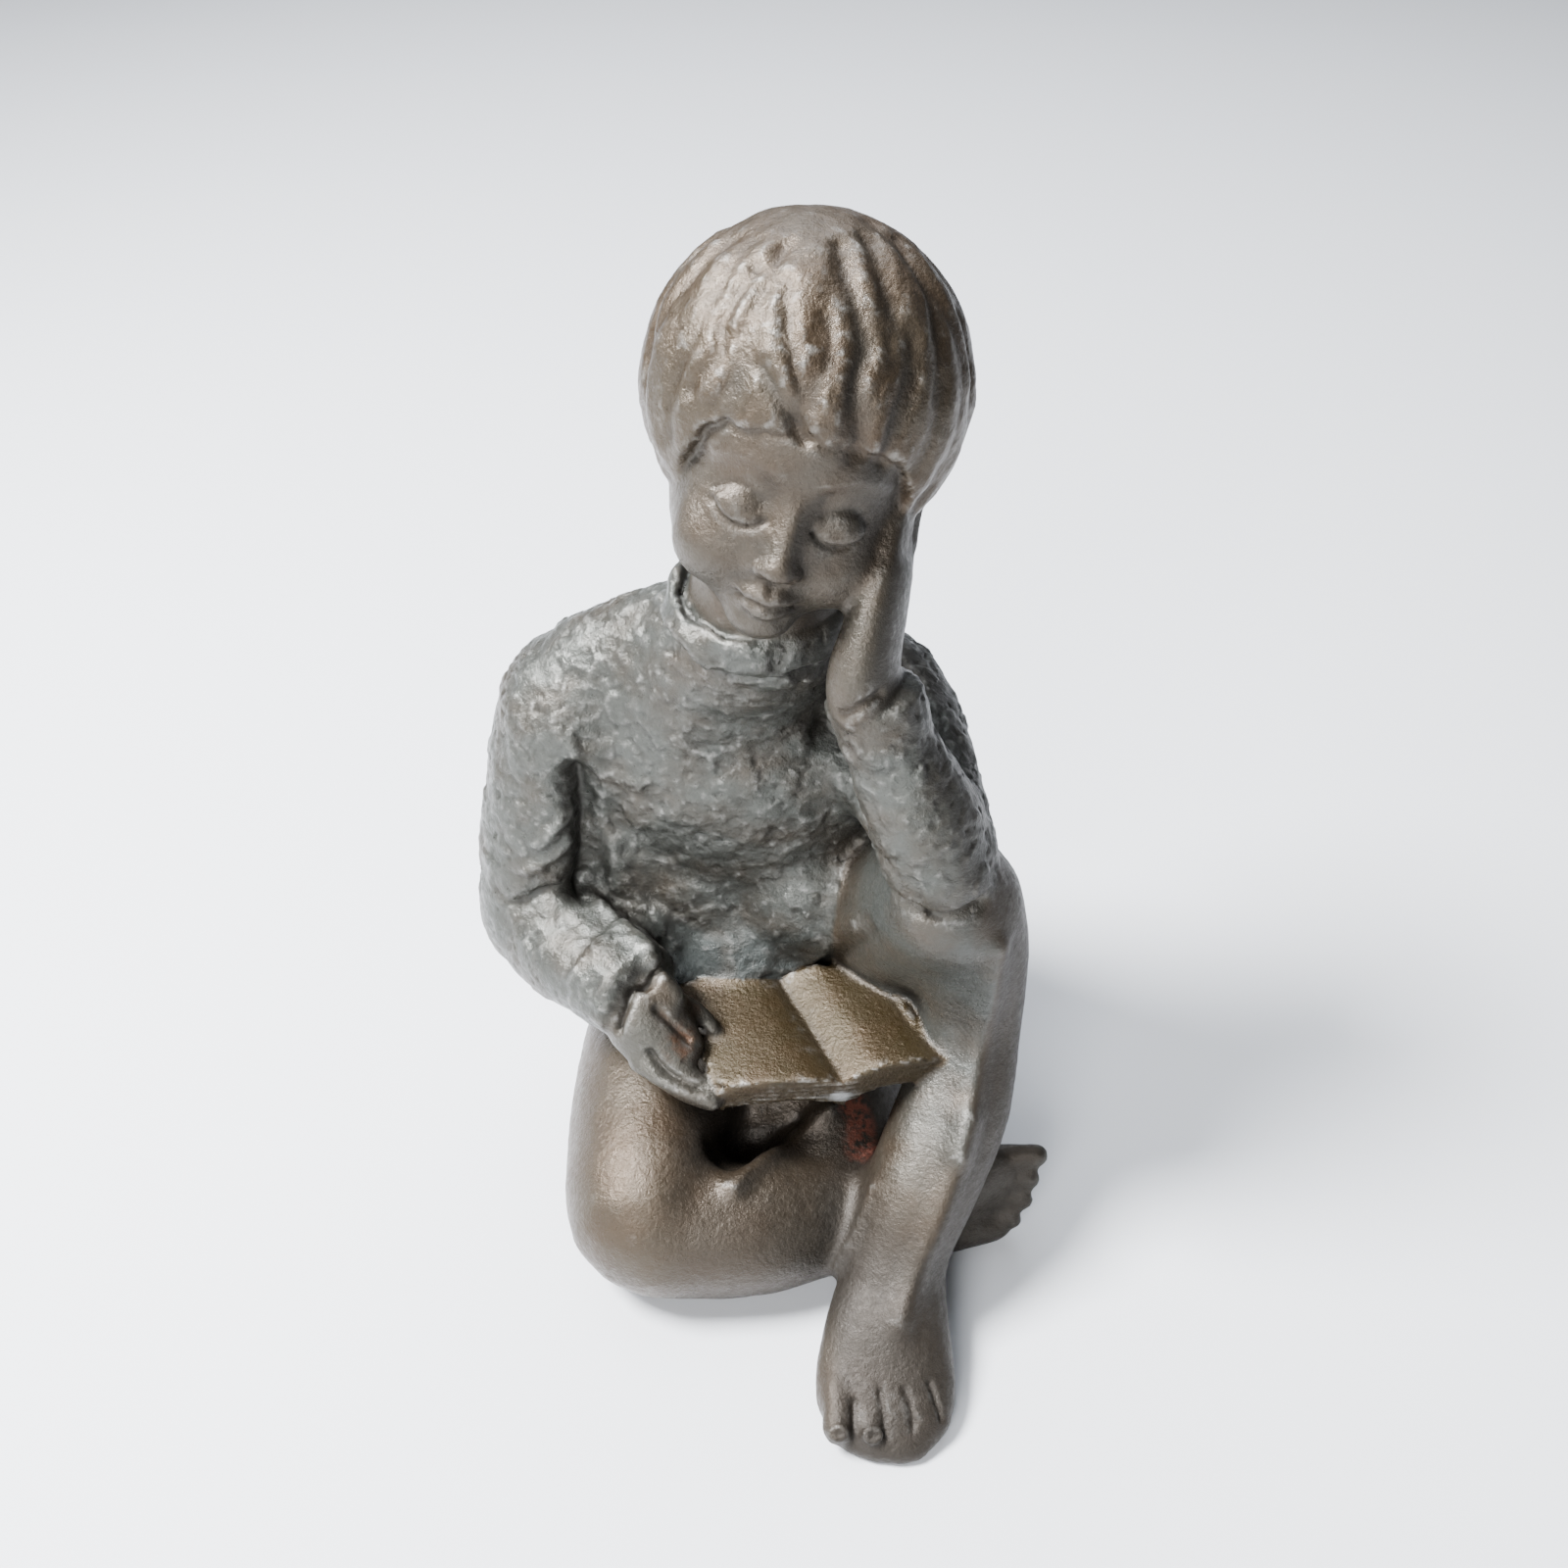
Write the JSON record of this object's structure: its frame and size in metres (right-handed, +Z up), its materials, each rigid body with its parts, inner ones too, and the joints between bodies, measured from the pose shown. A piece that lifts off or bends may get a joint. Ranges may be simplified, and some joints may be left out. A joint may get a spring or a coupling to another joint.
{
  "type": "boy figurine",
  "caption": "Cast figurine of a seated barefoot boy reading an open book, cheek on hand, for display on a shelf or table.",
  "frame": {"origin": "middle of the underside's bounding box", "axes": "+X to the boy's left, +Y to his back, +Z up; he faces -Y"},
  "size_m": [0.1303, 0.1596, 0.2199],
  "materials": {
    "bronze_patina": "dark warm grey-brown bronze patina, semi-gloss, worn lighter on raised parts, with darker hollows and a few chips"
  },
  "bodies": {
    "root": {"boy_figure": "bronze_patina"}
  },
  "joints": []
}
